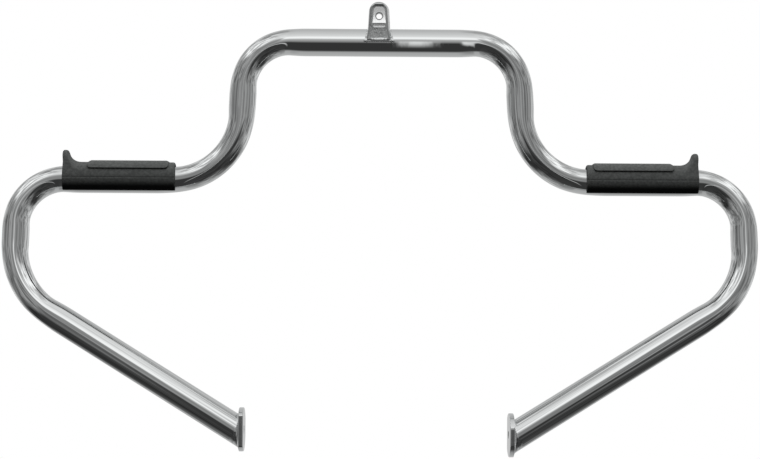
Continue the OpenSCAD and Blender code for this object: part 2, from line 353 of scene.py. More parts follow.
@dataclass(frozen=True)
class TubePath:
    """The centreline of one half of the bar, drawn as the right one, from the tube's middle outward."""

    tube_radius: float = 15.875
    shift: float = 3.4
    bar_y: float = 7.875
    bar_z: float = -29.0
    plate_gap: float = 296.0
    plate_shift: float = -1.0
    plate_up: float = 2.0
    plate_thickness: float = 5.5
    runs: tuple[Run, ...] = (
        Run(105, 0, 55, 87),
        Run(31, 180, 81, 87),
        Run(122, 180 - 12, 54.5, 90.5),
        Run(23.5, 0, 92, 58),
    )
    rest_run: int = 2
    straight_step: float = 4.0
    bend_step: float = 2.0
    # Distances on each side of a bend's end between which its section turns round, and how long a straight must
    # be for its middle to be quite round
    ease_in: float = 16.0
    ease_out: float = 18.0
    round_from: float = 40.0

    @cached_property
    def ends(self) -> list[Station]:
        """The station at which each run starts, and last the one at which the leg starts.

        Returns:
            The stations, in the half's own frame.
        """
        here = Station(np.array([0, self.bar_y, self.bar_z]), np.array([1.0, 0, 0]), np.array([0, 0, -1.0]))
        found = [here]
        for run in self.runs:
            here = self.round_bend(self.before_bend(here, run), run, run.angle)
            found.append(here)
        return found

    @staticmethod
    def before_bend(start: Station, run: Run) -> Station:
        """The station at the end of a run's straight, turned to its bending plane.

        Args:
            start: Where the run starts.
            run: The run.

        Returns:
            The station where its bend starts.
        """
        turn = math.radians(run.turn)
        side = start.side * math.cos(turn) + np.cross(start.heading, start.side) * math.sin(turn)
        return Station(start.point + start.heading * run.straight, start.heading, side)

    def round_bend(self, start: Station, run: Run, angle: float) -> Station:
        """The station an angle of degrees round a run's bend.

        Args:
            start: Where the bend starts.
            run: The run that it belongs to.
            angle: How far round, in degrees.

        Returns:
            The station there.
        """
        a = math.radians(angle)
        along, across = start.heading, start.side
        point = start.point + run.radius * (along * math.sin(a) + across * (1 - math.cos(a)))
        heading = along * math.cos(a) + across * math.sin(a)
        side = across * math.cos(a) - along * math.sin(a)
        return Station(point, heading, side, self.bend_at(a * run.radius, math.radians(run.angle) * run.radius))

    def bend_at(self, place: float, length: float) -> float:
        """How far a place in a bend is flattened, by its distance from the bend's start and the bend's length."""
        return float(1 - ease(-min(place, length - place), -self.ease_in, self.ease_out))

    def bend_beside(self, out: float, straight: float) -> float:
        """How far a straight of a length is still flattened at a distance from the nearest bend."""
        return max(float(1 - ease(out, -self.ease_in, self.ease_out)), 1 - straight / self.round_from)

    def plate_reach(self, side: Side) -> float:
        """The distance from the tube's middle to the inner face of a side's end plate."""
        return self.plate_gap / 2 + side.value * (self.plate_shift - self.shift)

    def face_reach(self, side: Side) -> float:
        """The distance from the tube's middle to the outer face of a side's end plate."""
        return self.plate_reach(side) + self.plate_thickness

    def leg_end(self, side: Side) -> Array:
        """Where the leg's centreline meets the end plate's outer face, in the half's own frame."""
        leg = self.ends[-1]
        return leg.point + leg.heading * (self.face_reach(side) - leg.point[0]) / leg.heading[0]

    def stations(self, side: Side) -> list[Station]:
        """Closely spaced stations from the middle to the end plate.

        Args:
            side: The side, as the plates stand at different distances.

        Returns:
            The stations, in the half's own frame.
        """
        found: list[Station] = []
        for start, run in zip(self.ends, self.runs):
            bend = self.before_bend(start, run)
            count = math.ceil(run.straight / self.straight_step)
            for i in range(count):
                gone = run.straight * i / count
                out = run.straight - gone if start is self.ends[0] else min(gone, run.straight - gone)
                point = start.point + start.heading * gone
                found.append(Station(point, start.heading, bend.side, self.bend_beside(out, run.straight)))
            steps = math.ceil(run.angle / self.bend_step)
            found += [self.round_bend(bend, run, run.angle * i / steps) for i in range(steps)]
        leg = self.ends[-1]
        reach = self.leg_end(side) - leg.point
        length = float(np.linalg.norm(reach))
        count = math.ceil(length / self.straight_step)
        for i in range(count + 1):
            bend = self.bend_beside(length * i / count, length)
            found.append(Station(leg.point + reach * i / count, leg.heading, leg.side, bend))
        return found

    def on_side(self, side: Side, origin: Array, axes: Array) -> Placing:
        """Carries a place in the right half's frame to one side of the part.

        Args:
            side: The side that it goes to.
            origin: Its point in the half's frame.
            axes: Its own axes as columns, in the half's frame.

        Returns:
            The place in the part's frame.
        """
        flip = np.array([side.value, 1, 1])
        return Placing(origin * flip + np.array([self.shift, 0, 0]), flip[:, None] * axes)

    def at_plate(self, side: Side, upright: bool) -> Placing:
        """The middle of an end plate's inner face, with X outward, and Y and Z turned over if not upright.

        Args:
            side: The plate's side.
            upright: Whether it is not turned over.

        Returns:
            The plate's place in the part's frame.
        """
        end = self.leg_end(side)
        turn = 1 if upright else -1
        middle = np.array([self.plate_reach(side), end[1], end[2] + self.plate_up])
        return self.on_side(side, middle, np.diag([1.0, turn, turn]))


@dataclass(frozen=True)
class BarTube:
    """The one bent tube: a mandrel bends it, which flattens each bend a little in its own plane."""

    path: TubePath
    finish: ChromePlate
    wall: float = 3.0
    sides: int = 72
    flatten: float = 0.085
    spread: float = 0.03

    def ring(self, station: Station, spoke: Array, radius: float) -> Array:
        """The corners of one ring, squeezed as far as the station is in a bend.

        Args:
            station: Where the ring stands.
            spoke: The way to its first corner.
            radius: Its radius when round.

        Returns:
            One row for each corner.
        """
        angles = np.linspace(0, 2 * math.pi, self.sides, endpoint=False)[:, None]
        other = np.cross(station.heading, spoke)
        spokes = spoke * np.cos(angles) + other * np.sin(angles)
        flat = np.cross(station.heading, station.side)
        in_plane = (spokes @ station.side)[:, None] * station.side * (1 - self.flatten * station.bend)
        off_plane = (spokes @ flat)[:, None] * flat * (1 + self.spread * station.bend)
        return station.point + radius * (in_plane + off_plane)

    def half(self, side: Side, radius: float) -> list[Array]:
        """The rings of one half in its own frame, the last one cut by the end plate's face.

        Args:
            side: The side that it is for.
            radius: The skin's radius.

        Returns:
            The rings from the middle outward.
        """
        spoke = np.array([0, 0, 1.0])
        rings = []
        stations = self.path.stations(side)
        for station in stations:
            spoke = spoke - station.heading * (spoke @ station.heading)
            spoke /= np.linalg.norm(spoke)
            rings.append(self.ring(station, spoke, radius))
        heading = stations[-1].heading
        short = (self.path.face_reach(side) - rings[-1][:, :1]) / heading[0]
        rings[-1] = rings[-1] + short * heading
        return rings

    def skin(self, radius: float) -> Array:
        """The rings of the whole tube at one radius, from its left end to its right."""
        left = [ring * np.array([-1, 1, 1]) for ring in self.half(Side.LEFT, radius)[:0:-1]]
        return np.array(left + self.half(Side.RIGHT, radius)) + np.array([self.path.shift, 0, 0])

    def build(self) -> bpy.types.Object:
        """Makes the hollow tube from its outer and inner skins.

        Returns:
            The tube's object.
        """
        outer = self.skin(self.path.tube_radius)
        inner = self.skin(self.path.tube_radius - self.wall)
        rings = np.concatenate([outer, inner[::-1]])
        count, sides = rings.shape[:2]
        a = np.arange(count)[:, None] * sides + np.arange(sides)
        b = np.roll(a, -1, axis=1)
        quads = np.stack([a, b, np.roll(b, -1, axis=0), np.roll(a, -1, axis=0)], axis=-1).reshape(-1, 4)
        piece = make_mesh("bar_tube_bent", rings.reshape(-1, 3), quads, [self.finish.material()])
        dress(piece, "bar_tube")
        return piece


def join(a: Array, b: Array, soft: float) -> Array:
    """The distance to either of two forms, with their corner filled over a soft width."""
    share = np.clip(0.5 + 0.5 * (b - a) / soft, 0, 1)
    return b + (a - b) * share - soft * share * (1 - share)


def trim(a: Array, b: Array, soft: float) -> Array:
    """The distance to what two forms share, with their edge rounded over a soft width."""
    return -join(-a, -b, soft)


def fillet(a: Array, b: Array, radius: Array | float) -> Array:
    """The distance to either of two forms, with a hollow round of a radius in their corner."""
    reach = np.hypot(np.maximum(radius - a, 0), np.maximum(radius - b, 0))
    return np.maximum(radius, np.minimum(a, b)) - reach


def ease(x: Array, start: float, end: float) -> Array:
    """A smooth step from 0 at one value to 1 at another."""
    share = np.clip((x - start) / (end - start), 0, 1)
    return share * share * (3 - 2 * share)


class Carving(ABC):
    """A piece that is given by the distance from its surface, less than nothing inside."""

    name: str
    node: str
    slot: str
    cell: float
    slope_step: float = 0.04
    settle_steps: int = 4

    @abstractmethod
    def distance(self, p: Array) -> Array:
        """The distance of each point from the surface, in the piece's own axes."""

    @abstractmethod
    def box(self) -> tuple[Array, Array]:
        """The lowest and highest corners of a box round the piece, in its own axes."""

    def placing(self) -> Placing:
        """Where the piece's own axes stand in the part's frame: most are the part's own."""
        return Placing(np.zeros(3), np.eye(3))

    @abstractmethod
    def materials(self) -> list[bpy.types.Material]:
        """What the piece is made of, the main material first."""

    def finish_of(self, middles: Array) -> Array:
        """The number of the material of each face, from the face's middle."""
        return np.zeros(len(middles), dtype=int)

    def slope(self, p: Array) -> Array:
        """The direction in which the distance grows fastest, and how fast."""
        step = np.eye(3) * self.slope_step
        return np.stack([self.distance(p + s) - self.distance(p - s) for s in step], axis=-1) / (2 * self.slope_step)

    def net(self) -> tuple[Array, Array]:
        """Lays a net of quads over the surface, with one corner in each grid cell that it passes through.

        Returns:
            The corners, and one row of four corners for each quad.
        """
        low, high = self.box()
        counts = np.ceil((high - low) / self.cell).astype(int) + 1
        ticks = [low[i] + self.cell * np.arange(counts[i]) for i in range(3)]
        grid = np.stack(np.meshgrid(*ticks, indexing="ij"), axis=-1)
        value = self.distance(grid.reshape(-1, 3)).reshape(counts)
        total = np.zeros((*(counts - 1), 3))
        hits = np.zeros(counts - 1)
        crossings = []
        for axis in range(3):
            first, second = self.ends_along(value, axis)
            crossed = (first < 0) != (second < 0)
            share = np.where(crossed, first / np.where(crossed, first - second, 1), 0)
            point = self.ends_along(grid, axis)[0] + share[..., None] * self.cell * np.eye(3)[axis]
            point *= crossed[..., None]
            for cells in self.cells_round(axis):
                total += point[cells]
                hits += crossed[cells]
            crossings.append((crossed, first < 0))
        mixed = hits > 0
        number = np.full(hits.shape, -1)
        number[mixed] = np.arange(int(mixed.sum()))
        quads = [self.quads_round(number, axis, *crossings[axis]) for axis in range(3)]
        return total[mixed] / hits[mixed][:, None], np.concatenate(quads)

    @staticmethod
    def ends_along(values: Array, axis: int) -> tuple[Array, Array]:
        """The values at the two ends of every grid edge along an axis."""
        along = np.moveaxis(values, axis, 0)
        return np.moveaxis(along[:-1], 0, axis), np.moveaxis(along[1:], 0, axis)

    @staticmethod
    def cells_round(axis: int) -> list[tuple[slice, ...]]:
        """For each of the four edges of a cell along an axis, which of the grid's edges they are.

        Args:
            axis: The edges' axis.

        Returns:
            The part of the grid for each edge.
        """
        low, high = slice(None, -1), slice(1, None)
        found = []
        for first, second in ((low, low), (high, low), (high, high), (low, high)):
            cells = [first, second]
            cells.insert(axis, slice(None))
            found.append(tuple(cells))
        return found

    @staticmethod
    def quads_round(number: Array, axis: int, crossed: Array, inside: Array) -> Array:
        """The quads round the crossed edges along an axis, each wound so that it faces outward.

        Args:
            number: Each cell's corner number, or -1.
            axis: The edges' axis.
            crossed: Which edges the surface crosses.
            inside: Which edges start inside.

        Returns:
            One row of four corners for each quad.
        """
        inner = [slice(1, -1), slice(1, -1)]
        inner.insert(axis, slice(None))
        edges = np.argwhere(crossed[tuple(inner)])
        outward = inside[tuple(inner)][tuple(edges.T)]
        other = [i for i in range(3) if i != axis]
        corners = []
        for first, second in ((0, 0), (1, 0), (1, 1), (0, 1)):
            cell = edges.copy()
            cell[:, other[0]] += first
            cell[:, other[1]] += second
            corners.append(number[tuple(cell.T)])
        quads = np.stack(corners, axis=-1)
        turned = outward if axis != 1 else ~outward
        return np.where(turned[:, None], quads, quads[:, ::-1])

    def build(self) -> bpy.types.Object:
        """Makes the piece: nets its surface, settles the net on it and takes the surface's own normals.

        Returns:
            The piece's object.
        """
        points, quads = self.net()
        for _ in range(self.settle_steps):
            slope = self.slope(points)
            size = np.maximum((slope * slope).sum(axis=1), 0.25)
            move = -slope * (self.distance(points) / size)[:, None]
            length = np.maximum(np.linalg.norm(move, axis=1, keepdims=True), 1e-9)
            points = points + move * np.minimum(1, 0.5 * self.cell / length)
        slope = self.slope(points)
        normals = slope / np.maximum(np.linalg.norm(slope, axis=1, keepdims=True), 1e-9)
        finishes = self.finish_of(points[quads].mean(axis=1))
        place = self.placing()
        if place.mirrored:
            quads = quads[:, ::-1]
        piece = make_mesh(self.name, place.points(points), quads, self.materials(), place.ways(normals))
        piece.data.polygons.foreach_set("material_index", finishes)
        dress(piece, self.node)
        return piece


class SidedCarving(Carving):
    """A carved piece that the bar has on each side."""

    side: Side
    piece_stem: str
    node_stem: str

    @property
    def name(self) -> str:
        """The piece's name."""
        return f"{self.piece_stem}_{self.side.word}"

    @property
    def node(self) -> str:
        """The solid that the piece stands for."""
        return f"{self.node_stem}_{self.side.word}"


@dataclass(frozen=True)
class FootPad(SidedCarving):
    """A rubber foot rest: a C-shaped grip with a raised tread and a toe stop, X up and Z outward from its inner end."""

    path: TubePath
    side: Side
    rubber: bpy.types.Material
    length: float = 128.0
    lead: float = 4.8
    fit: float = 0.3
    wall: float = 3.8
    skirt: float = 13.0
    end_round: float = 2.4
    flare: float = 0.2
    front_out: float = 0.9
    top_back: float = 0.7
    stop_height: float = 14.0
    stop_thickness: float = 4.0
    stop_lean: float = -1.4
    stop_fillet: float = 15.0
    stop_half_width: float = 13.0
    tread_in: float = 7.0
    tread_length: float = 93.0
    tread_height: float = 2.0
    tread_angle: float = 55.0
    tread_corner: float = 4.0
    tread_chamfer: float = 2.5
    seam_depth: float = 0.3
    seam_width: float = 0.6
    seam_place: float = 2.0
    # How soft the edges are: of the tread, the stop, the tread's foot, the bore and the open underside
    tread_round: float = 0.9
    stop_round: float = 1.0
    tread_foot: float = 0.7
    bore_round: float = 0.5
    skirt_round: float = 1.2
    # Where along Y and X the inner end's front reaches out and its top falls back
    front_span: tuple[float, float] = (2.0, 14.0)
    top_span: tuple[float, float] = (4.0, 16.0)
    cell: float = 0.75

    slot = "rubber"
    piece_stem = "foot_pad_moulded"
    node_stem = "foot_pad"

    @property
    def bore(self) -> float:
        """The radius of the rubber's bore."""
        return self.path.tube_radius + self.fit

    @property
    def outside(self) -> float:
        """The radius of the rubber's outside."""
        return self.bore + self.wall

    def placing(self) -> Placing:
        """On the level run, from its inner end over the knee bend.

        Returns:
            The foot rest's place in the part's frame.
        """
        start = self.path.ends[self.path.rest_run]
        across = np.cross(start.heading, start.side)
        axes = np.stack([start.side, across, start.heading], axis=-1)
        return self.path.on_side(self.side, start.point - start.heading * self.lead, axes)

    def box(self) -> tuple[Array, Array]:
        """Just round the rubber.

        Returns:
            The box's lowest and highest corners.
        """
        wide = self.outside + self.tread_height + 1
        return (
            np.array([-self.skirt - 1, -wide, -self.flare - self.front_out - 0.8]),
            np.array([self.outside + self.stop_height + 1, wide, self.length + 1 + abs(self.stop_lean)]),
        )

    def materials(self) -> list[bpy.types.Material]:
        """Rubber throughout."""
        return [self.rubber]

    def stop(self, x: Array, y: Array, z: Array) -> tuple[Array, Array, Array]:
        """The toe stop's blade from the side, the outline that bounds it from the end, and the leaning end.

        Args:
            x: Heights over the axis.
            y: Places across it.
            z: Places along it.

        Returns:
            The three distances.
        """
        in_from_end = self.length - z
        tip = (self.stop_thickness - self.stop_lean) / 2
        top = self.outside + self.stop_height - tip
        up = np.clip((x - self.outside) / (top - self.outside), 0, 1)
        middle = self.stop_thickness / 2 + (self.stop_lean + tip - self.stop_thickness / 2) * up
        half = self.stop_thickness / 2 + (tip - self.stop_thickness / 2) * up
        blade = np.hypot(in_from_end - middle, np.maximum(x - top, 0)) - half
        height = self.outside + self.stop_height - self.stop_half_width
        lean = (self.outside - self.stop_half_width) / height
        slant = math.sqrt(1 - lean * lean)
        off = np.abs(y)
        along = slant * x - lean * off
        flank = slant * off + lean * x - self.outside
        low = np.hypot(off, x) - self.outside
        high = np.hypot(off, x - height) - self.stop_half_width
        outline = np.where(along < 0, low, np.where(along > slant * height, high, flank))
        return blade, outline, z - self.length + self.stop_lean * up

    def tread(self, x: Array, y: Array, z: Array) -> Array:
        """The raised tread over the top, its lower corners rounded and its upper ones cut.

        Args:
            x: Heights over the axis.
            y: Places across it.
            z: Places along it.

        Returns:
            The distance from it.
        """
        shell = np.hypot(x, y) - self.outside - self.tread_height
        low = (self.outside + self.tread_height) * math.cos(math.radians(self.tread_angle))
        half = self.tread_length / 2
        along = np.abs(z - self.tread_in - half)
        ends = along - half
        sides = low - x
        corner = self.tread_corner
        rim = np.hypot(np.maximum(ends + corner, 0), np.maximum(sides + corner, 0)) - corner
        rim = np.maximum(rim, np.maximum(ends, sides) - corner)
        top = self.outside + self.tread_height
        cut = (ends + x - top + self.tread_chamfer) * math.sqrt(0.5)
        return trim(shell, np.maximum(rim, cut), self.tread_round)

    def distance(self, p: Array) -> Array:
        """The grip, the stop in its hollow fillet and the tread, less the bore and the open underside.

        Args:
            p: One row of x, y and z for each point, in the piece's own axes.

        Returns:
            One distance for each point, less than nothing inside.
        """
        x, y, z = p.T
        around = np.hypot(x, y)
        flare = self.flare + self.front_out * ease(y, *self.front_span) - self.top_back * ease(x, *self.top_span)
        seam = -self.seam_depth * np.exp(-(((x - self.seam_place) / self.seam_width) ** 2))
        grip = around - self.outside - seam
        blade, outline, end = self.stop(x, y, z)
        solid = trim(fillet(grip, blade, self.stop_fillet), outline - seam, self.stop_round)
        solid = trim(solid, end, self.end_round * 0.6)
        solid = join(solid, self.tread(x, y, z), self.tread_foot)
        solid = trim(solid, -z - flare, self.end_round)
        solid = trim(solid, self.bore - around, self.bore_round)
        return trim(solid, -self.skirt - x, self.skirt_round)


@dataclass(frozen=True)
class MountingTab(Carving):
    """The forged tab, coped to the tube: a flat back, a flared foot and a recess round its bolt hole."""

    path: TubePath
    plate: bpy.types.Material
    recess_plate: bpy.types.Material
    thickness: float = 10.0
    top_radius: float = 11.8
    top_height: float = 17.5
    waist: float = 12.8
    waist_height: float = 17.0
    foot: float = 16.0
    low_height: float = 0.5
    draft: float = 1.5
    skew: float = 0.9
    edge: float = 2.4
    crown_edge: float = 4.0
    lean: float = 0.07
    # The front swells towards the foot, and its last stretch turns up like the toe of a shoe
    belly: float = 0.0045
    belly_height: float = 14.0
    toe_slope: float = 0.34
    toe_height: float = 4.2
    toe_half: float = 9.5
    hole_radius: float = 3.4
    hole_edge: float = 0.9
    recess_half: float = 8.3
    recess_up: float = 13.2
    recess_down: float = 12.8
    top_cut: float = 3.2
    foot_cut: float = 1.6
    foot_step: float = 1.0
    wall_slope: float = 0.3
    top_depth: float = 5.5
    low_depth: float = 1.0
    trough_height: float = 5.0
    trough_depth: float = 1.2
    sink: float = 0.15
    # How soft the edges are: of the back and the recess, the foot, the hole and the recess's own outline
    round_edge: float = 0.5
    foot_round: float = 2.2
    hole_round: float = 0.2
    outline_round: float = 0.8
    # The crown's rounder edge lies between these distances from the middle and these heights
    crown_aside: tuple[float, float] = (3.0, 7.0)
    crown_up: tuple[float, float] = (8.0, 13.0)
    # How steeply the recess's upper corners are cut, and the low boss round the hole
    cut_slope: float = 1.4
    boss_height: float = 0.3
    boss_reach: float = 7.5
    # The unpolished finish keeps this far behind the front and from the back, the recess's edge and the hole
    satin_front: float = 0.35
    satin_back: float = 0.6
    satin_gap: float = 0.1
    cell: float = 0.36

    name = "mounting_tab_forged"
    node = "mounting_tab"
    slot = "chrome"

    def box(self) -> tuple[Array, Array]:
        """Just round the tab.

        Returns:
            The box's lowest and highest corners.
        """
        low = self.path.bar_z + self.low_height
        wide = self.foot + 1.5
        return np.array([-wide, -self.thickness - 2.2, low - 1]), np.array([wide, 1, self.top_height + 1])

    def materials(self) -> list[bpy.types.Material]:
        """Polished outside, and as forged in the recess, which no polishing wheel reaches."""
        return [self.plate, self.recess_plate]

    def finish_of(self, middles: Array) -> Array:
        """The recess's faces, by where they lie.

        Args:
            middles: One row for each face's middle.

        Returns:
            1 for each face in the recess, and 0 for the others.
        """
        x, y, z = middles.T
        inside = self.recess_outline(x, z) < -self.satin_gap
        deep = (y > self.satin_front - self.thickness) & (y < -self.satin_back)
        return (inside & deep & (np.hypot(x, z) > self.hole_radius + self.satin_gap)).astype(int)

    def outline(self, x: Array, z: Array, front: Array) -> Array:
        """The tab's outline at a share of the way to its front: a round top above a foot that flares.

        Args:
            x: Places aside.
            z: Heights.
            front: The share, 0 at the back.

        Returns:
            The distance from it.
        """
        middle = self.top_height - self.top_radius
        waist_z = self.path.bar_z + self.waist_height
        taper = (self.waist - self.top_radius) * np.clip((middle - z) / (middle - waist_z), 0, 1)
        down = np.clip((waist_z - z) / (waist_z - self.path.bar_z), 0, 1.1)
        flare = (self.foot - self.waist) * down ** 1.3
        half = self.top_radius + taper + flare
        off = x + self.skew * front
        top = np.hypot(off, z - middle) - self.top_radius
        return np.where(z > middle, top, np.abs(off) - half) + self.draft * front

    def recess_outline(self, x: Array, z: Array) -> Array:
        """The recess's outline at its mouth, with its upper corners cut and a narrower foot.

        Args:
            x: Places aside.
            z: Heights.

        Returns:
            The distance from it.
        """
        ledge = self.trough_height - self.recess_down
        half = self.recess_half - self.foot_step * (1 - ease(z, ledge - 1, ledge + 0.6))
        sides = np.abs(x) - half
        cut = (self.cut_slope * (sides + self.top_cut) + z - self.recess_up) / math.hypot(self.cut_slope, 1)
        foot_cut = (sides + self.foot_cut - z - self.recess_down) / math.sqrt(2)
        ends = np.maximum(z - self.recess_up, -self.recess_down - z)
        return trim(np.maximum(sides, ends), np.maximum(cut, foot_cut), self.outline_round)

    def floor(self, x: Array, z: Array) -> Array:
        """The depth of the recess's floor, which rises ever faster to a ledge above a shallow trough.

        Args:
            x: Places aside.
            z: Heights.

        Returns:
            The depth behind the front.
        """
        ledge = self.trough_height - self.recess_down
        share = np.clip((z - ledge) / (self.recess_up - ledge), 0, 1)
        rising = self.low_depth + (self.top_depth - self.low_depth) * share * (1.5 - 0.5 * share)
        trough = (self.trough_depth - self.low_depth) * (1 - ease(z, ledge - 2.2, ledge - 0.4))
        return rising + trough + self.boss_height * np.exp(-((np.hypot(x, z) / self.boss_reach) ** 2))

    def recess(self, x: Array, y: Array, z: Array) -> Array:
        """The hollow between its sloping walls and its floor.

        Args:
            x: Places aside.
            y: Places along the hole.
            z: Heights.

        Returns:
            The distance from it.
        """
        depth_in = y + self.thickness + self.lean * (z + self.recess_down)
        walls = (self.recess_outline(x, z) + self.wall_slope * depth_in) / math.hypot(1, self.wall_slope)
        return trim(walls, depth_in - self.floor(x, z), self.round_edge)

    def hole(self, x: Array, y: Array, z: Array) -> Array:
        """The bolt hole, with a chamfer square to the floor at its mouth.

        Args:
            x: Places aside.
            y: Places along the hole.
            z: Heights.

        Returns:
            The distance from it.
        """
        tilt = (self.top_depth - self.low_depth) / (self.recess_up + self.recess_down - self.trough_height)
        front = y + self.thickness + self.lean * (z + self.recess_down)
        out = -(front - self.floor(x * 0, z * 0) - tilt * z) / math.hypot(1, tilt)
        around = np.hypot(x, z)
        mouth = (around - self.hole_radius - self.hole_edge - out) * math.sqrt(0.5)
        return np.minimum(around - self.hole_radius, mouth)

    def distance(self, p: Array) -> Array:
        """The outline's block with its rounded front edge, less the tube, the recess and the hole.

        Args:
            p: One row of x, y and z for each point, in the piece's own axes.

        Returns:
            One distance for each point, less than nothing inside.
        """
        x, y, z = p.T
        front = np.clip(-y / self.thickness, 0, 1.2)
        height = z - self.path.bar_z
        belly = self.belly * np.maximum(self.belly_height - height, 0) ** 2
        gone = np.maximum(self.toe_height - height, 0)
        toe = self.toe_slope * gone**2 / (gone + 1.0) * (1 - ease(np.abs(x), 0.4 * self.toe_half, 1.4 * self.toe_half))
        crown = (1 - ease(np.abs(x), *self.crown_aside)) * ease(z, *self.crown_up)
        edge = self.edge + (self.crown_edge - self.edge) * crown
        forward = self.lean * (z + self.recess_down)
        block = trim(self.outline(x, z, front), -y - self.thickness - belly - toe - forward, edge)
        block = trim(block, y, self.round_edge)
        block = trim(block, self.path.bar_z + self.low_height - z, self.foot_round)
        block = trim(block, -self.recess(x, y, z), self.round_edge)
        block = trim(block, -self.hole(x, y, z), self.hole_round)
        tube = np.hypot(y - self.path.bar_y, z - self.path.bar_z) - self.path.tube_radius + self.sink
        return np.maximum(block, -tube)


@dataclass(frozen=True)
class TabWeld(Carving):
    """The hand-laid bead round the tab's foot, rippled, with a lump where it turns each front corner."""

    path: TubePath
    plate: bpy.types.Material
    half_width: float = 15.6
    lean: float = 0.2
    low_height: float = 0.5
    top_bead: float = 0.9
    foot_bead: float = 1.4
    back_lump: float = 1.6
    front_lump: float = 2.4
    ripple: float = 0.12
    ripple_pitch: float = 2.8
    # The front row's size as a share of the foot bead's, and how softly the beads run together
    front_row: float = 0.85
    soft: float = 0.8
    sink: float = 0.2
    cell: float = 0.32

    name = "tab_weld_rippled"
    node = "tab_weld"
    slot = "plated_weld"

    def box(self) -> tuple[Array, Array]:
        """Just round the bead.

        Returns:
            The box's lowest and highest corners.
        """
        room = self.front_lump + 1
        low = self.path.bar_z + self.low_height - room
        front = self.path.bar_y - self.path.tube_radius - room
        wide = self.half_width + room
        return np.array([-wide, front, low]), np.array([wide, room, self.path.bar_z + 20])

    def materials(self) -> list[bpy.types.Material]:
        """Plated weld metal throughout."""
        return [self.plate]

    def distance(self, p: Array) -> Array:
        """Two side beads that grow towards the front, a bead along the front and the back, and four lumps.

        Args:
            p: One row of x, y and z for each point, in the piece's own axes.

        Returns:
            One distance for each point, less than nothing inside.
        """
        x, y, z = p.T
        radius = self.path.tube_radius
        dy, dz = y - self.path.bar_y, z - self.path.bar_z
        around = np.hypot(dy, dz)
        back_turn = math.asin(self.path.bar_y / radius)
        front_turn = math.pi / 2 - math.asin(self.low_height / radius)
        held = np.clip(np.arctan2(-dy, dz), back_turn, front_turn)
        across = np.abs(x) - self.half_width + self.lean * np.maximum(dz, 0)
        wave = np.cos(2 * math.pi * held * radius / self.ripple_pitch)
        bead = self.top_bead + (self.foot_bead - self.top_bead) * ease(held, back_turn, front_turn)
        to_ring = np.hypot(dy + radius * np.sin(held), dz - radius * np.cos(held))
        beads = np.hypot(across, to_ring) - bead - self.ripple * wave
        wave = np.cos(2 * math.pi * x / self.ripple_pitch)
        for corner, row, lump in (
            (back_turn, self.top_bead, self.back_lump),
            (front_turn, self.front_row * self.foot_bead, self.front_lump),
        ):
            off = np.hypot(dy + radius * math.sin(corner), dz - radius * math.cos(corner))
            bar = np.hypot(np.maximum(across, 0), off) - row - self.ripple * wave
            beads = join(beads, join(bar, np.hypot(across, off) - lump, self.soft), self.soft)
        return np.maximum(beads, radius - self.sink - around)


@dataclass(frozen=True)
class EndPlate(SidedCarving):
    """A turned plate with two milled flats and a tapped hole, X outward from its inner face."""

    path: TubePath
    side: Side
    plate: bpy.types.Material
    blank_radius: float = 24.5
    near_flat: float = 17.2
    far_flat: float = 22.3
    edge: float = 1.2
    crest_radius: float = 4.25
    thread_depth: float = 0.75
    thread_pitch: float = 1.5
    lead_in: float = 0.6
    flat_round: float = 0.6
    hole_round: float = 0.2
    cell: float = 0.4

    slot = "chrome"
    piece_stem = "end_plate_turned"
    node_stem = "end_plate"

    def placing(self) -> Placing:
        """On the end of its leg: the right plate is turned over."""
        return self.path.at_plate(self.side, self.side is Side.LEFT)

    def box(self) -> tuple[Array, Array]:
        """Just round the plate.

        Returns:
            The box's lowest and highest corners.
        """
        wide = self.blank_radius + 0.8
        low = np.array([-0.8, -self.near_flat - 0.8, -wide])
        return low, np.array([self.path.plate_thickness + 0.8, self.far_flat + 0.8, wide])

    def materials(self) -> list[bpy.types.Material]:
        """Plated throughout."""
        return [self.plate]

    def outline(self, y: Array, z: Array) -> Array:
        """The round blank between its two flats."""
        flats = np.maximum(-y - self.near_flat, y - self.far_flat)
        return trim(np.hypot(y, z) - self.blank_radius, flats, self.flat_round)

    def distance(self, p: Array) -> Array:
        """The blank with its rounded rims, less the tapped hole and its lead-in.

        Args:
            p: One row of x, y and z for each point, in the piece's own axes.

        Returns:
            One distance for each point, less than nothing inside.
        """
        x, y, z = p.T
        thickness = self.path.plate_thickness
        blank = trim(self.outline(y, z), np.abs(x - thickness / 2) - thickness / 2, self.edge)
        around = np.hypot(y, z)
        phase = x / self.thread_pitch + np.arctan2(z, y) / (2 * math.pi)
        groove = 1 - 2 * np.abs(phase - np.round(phase))
        hole = self.crest_radius + self.thread_depth * groove - around
        mouth = (self.crest_radius + self.lead_in - x - around) * math.sqrt(0.5)
        return trim(blank, np.maximum(hole, mouth), self.hole_round)


